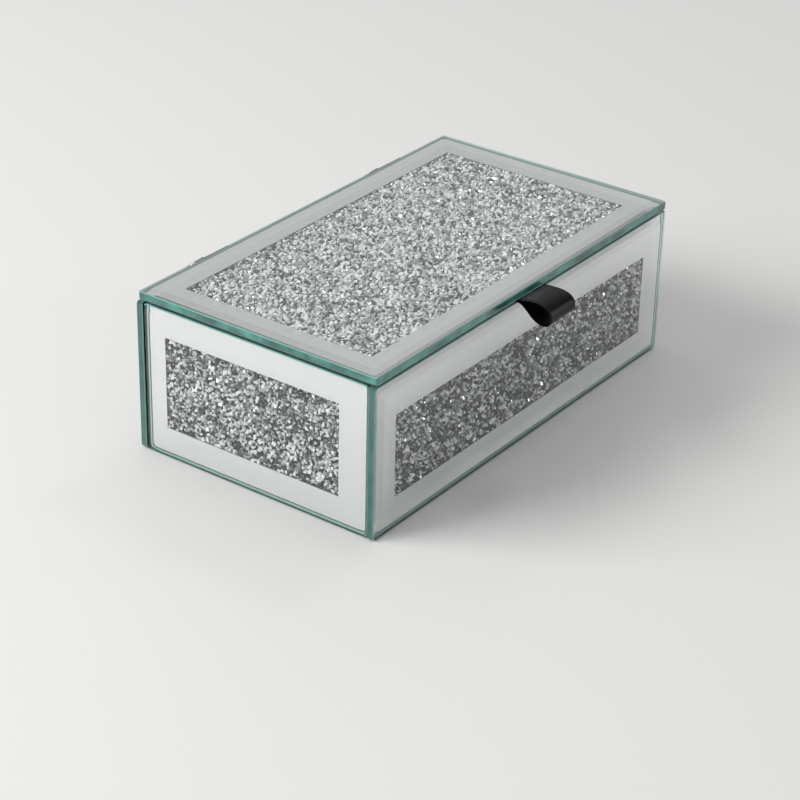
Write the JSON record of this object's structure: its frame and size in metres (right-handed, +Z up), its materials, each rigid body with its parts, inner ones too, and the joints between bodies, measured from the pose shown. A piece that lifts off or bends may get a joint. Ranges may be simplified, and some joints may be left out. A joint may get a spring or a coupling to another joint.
{
  "type": "trinket box",
  "caption": "Rectangular hinged trinket box faced with bevelled mirror glass, crushed-glass windows in lid and sides, velvet lining and a ribbon pull.",
  "frame": {"origin": "middle of the felt's resting face, under the middle of the box body", "axes": "+X to the right along the length, +Y to the rear where the hinges are, +Z up"},
  "size_m": [0.175, 0.119, 0.06],
  "materials": {
    "mirror_glass": "polished clear float glass, green at the edges, silvered border on the back",
    "crushed_glass": "loose silvered glass chips",
    "fibreboard": "raw fibreboard with silver-lacquered edges",
    "velvet": "short black velvet pile",
    "felt": "pressed felt",
    "satin_ribbon": "black satin",
    "nickel": "bright nickel plate",
    "screw_steel": "zinc-plated steel"
  },
  "bodies": {
    "box": {"base_felt": "felt", "base_board": "fibreboard", "front_wall": "fibreboard", "rear_wall": "fibreboard", "left_wall": "fibreboard", "right_wall": "fibreboard", "front_glass": "mirror_glass", "rear_glass": "mirror_glass", "left_glass": "mirror_glass", "right_glass": "mirror_glass", "front_crystals": "crushed_glass", "rear_crystals": "crushed_glass", "left_crystals": "crushed_glass", "right_crystals": "crushed_glass", "base_pad": "velvet", "front_lining": "velvet", "rear_lining": "velvet", "left_lining": "velvet", "right_lining": "velvet", "left_hinge_box_leaf": "nickel", "right_hinge_box_leaf": "nickel", "left_hinge_pin": "nickel", "right_hinge_pin": "nickel", "hinge_box_screws": "screw_steel"},
    "lid": {"lid_glass": "mirror_glass", "lid_crystals": "crushed_glass", "lid_board": "fibreboard", "lid_lining": "velvet", "left_hinge_lid_leaf": "nickel", "right_hinge_lid_leaf": "nickel", "hinge_lid_screws": "screw_steel", "ribbon_pull": "satin_ribbon"}
  },
  "joints": [
    {"name": "lid_hinge", "type": "hinge", "parent": "box", "child": "lid", "pos_m": [0, 0.0518, 0.0554], "axis": [-1, 0, 0], "range_deg": [0, 95]}
  ]
}
